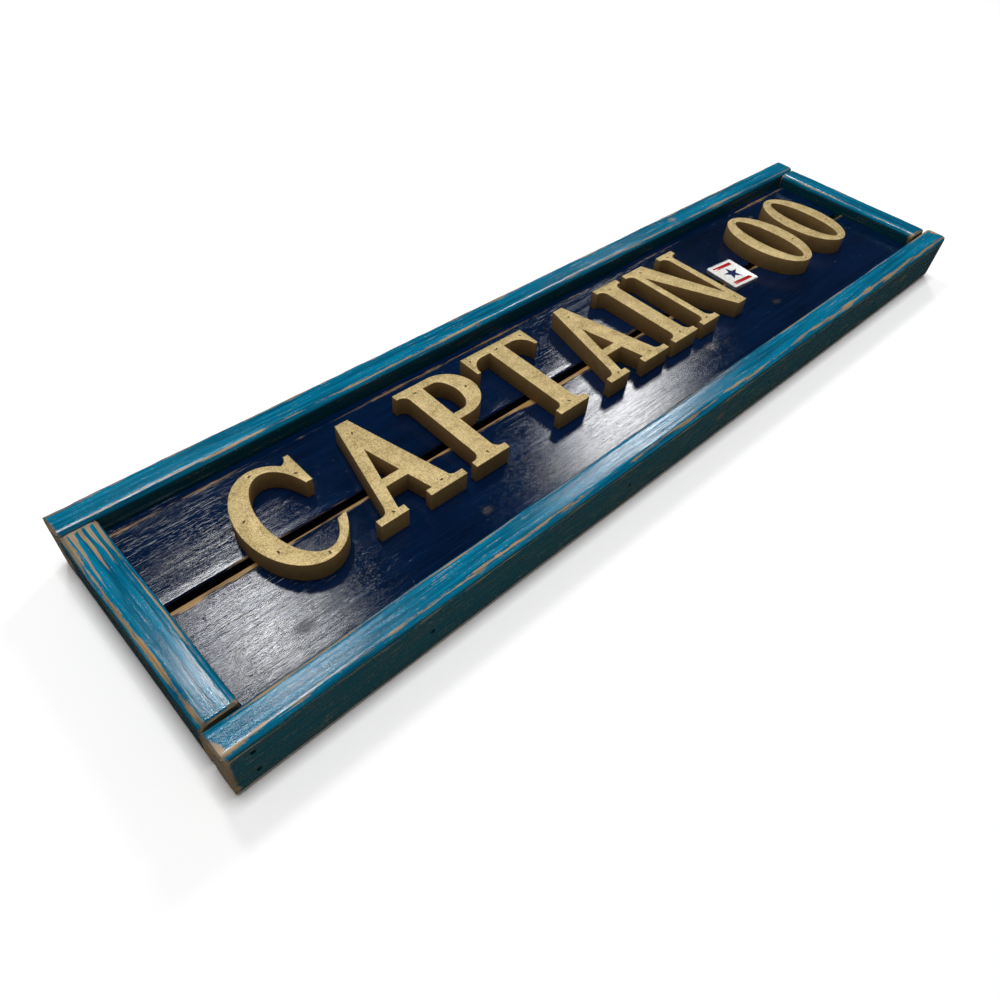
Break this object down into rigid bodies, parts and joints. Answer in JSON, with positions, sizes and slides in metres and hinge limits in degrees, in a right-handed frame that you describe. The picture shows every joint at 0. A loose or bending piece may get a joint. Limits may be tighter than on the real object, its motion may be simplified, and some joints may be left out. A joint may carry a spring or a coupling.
{
  "type": "framed wooden name sign",
  "caption": "Framed plank sign that hangs on a wall by sawtooth hangers, with raised letters, figures and a small badge.",
  "frame": {"origin": "centre of the sign's back, on the surface it lies on or hangs against", "axes": "+X along the word in reading direction, +Y up the letters, +Z out of the front of the sign"},
  "size_m": [0.6896, 0.171, 0.0394],
  "materials": {
    "frame_paint": "teal paint rubbed through to the wood, satin varnish",
    "plank_paint": "dark navy paint over open grain, semi-gloss varnish",
    "bare_wood": "bare sawn pine",
    "gold_paint": "champagne gold metallic paint on fibreboard",
    "badge_metal": "nickel-plated stamped metal",
    "badge_enamel": "glossy enamel",
    "nail_steel": "bright wire, dulled",
    "hanger_metal": "brass-plated steel strip"
  },
  "bodies": {
    "root": {"top_rail": "frame_paint", "bottom_rail": "frame_paint", "left_stile": "frame_paint", "right_stile": "frame_paint", "upper_plank": "plank_paint", "lower_plank": "plank_paint", "left_cleat": "bare_wood", "middle_cleat": "bare_wood", "right_cleat": "bare_wood", "letter_c": "gold_paint", "letter_a_first": "gold_paint", "letter_p": "gold_paint", "letter_t": "gold_paint", "letter_a_second": "gold_paint", "letter_i": "gold_paint", "letter_n": "gold_paint", "figure_zero_first": "gold_paint", "figure_zero_second": "gold_paint", "badge_base": "badge_metal", "badge_face": "badge_enamel", "corner_nails": "nail_steel", "plank_nails": "nail_steel", "cleat_brads": "nail_steel", "letter_brads": "nail_steel", "left_hanger": "hanger_metal", "right_hanger": "hanger_metal", "hanger_nails": "hanger_metal"}
  },
  "joints": []
}
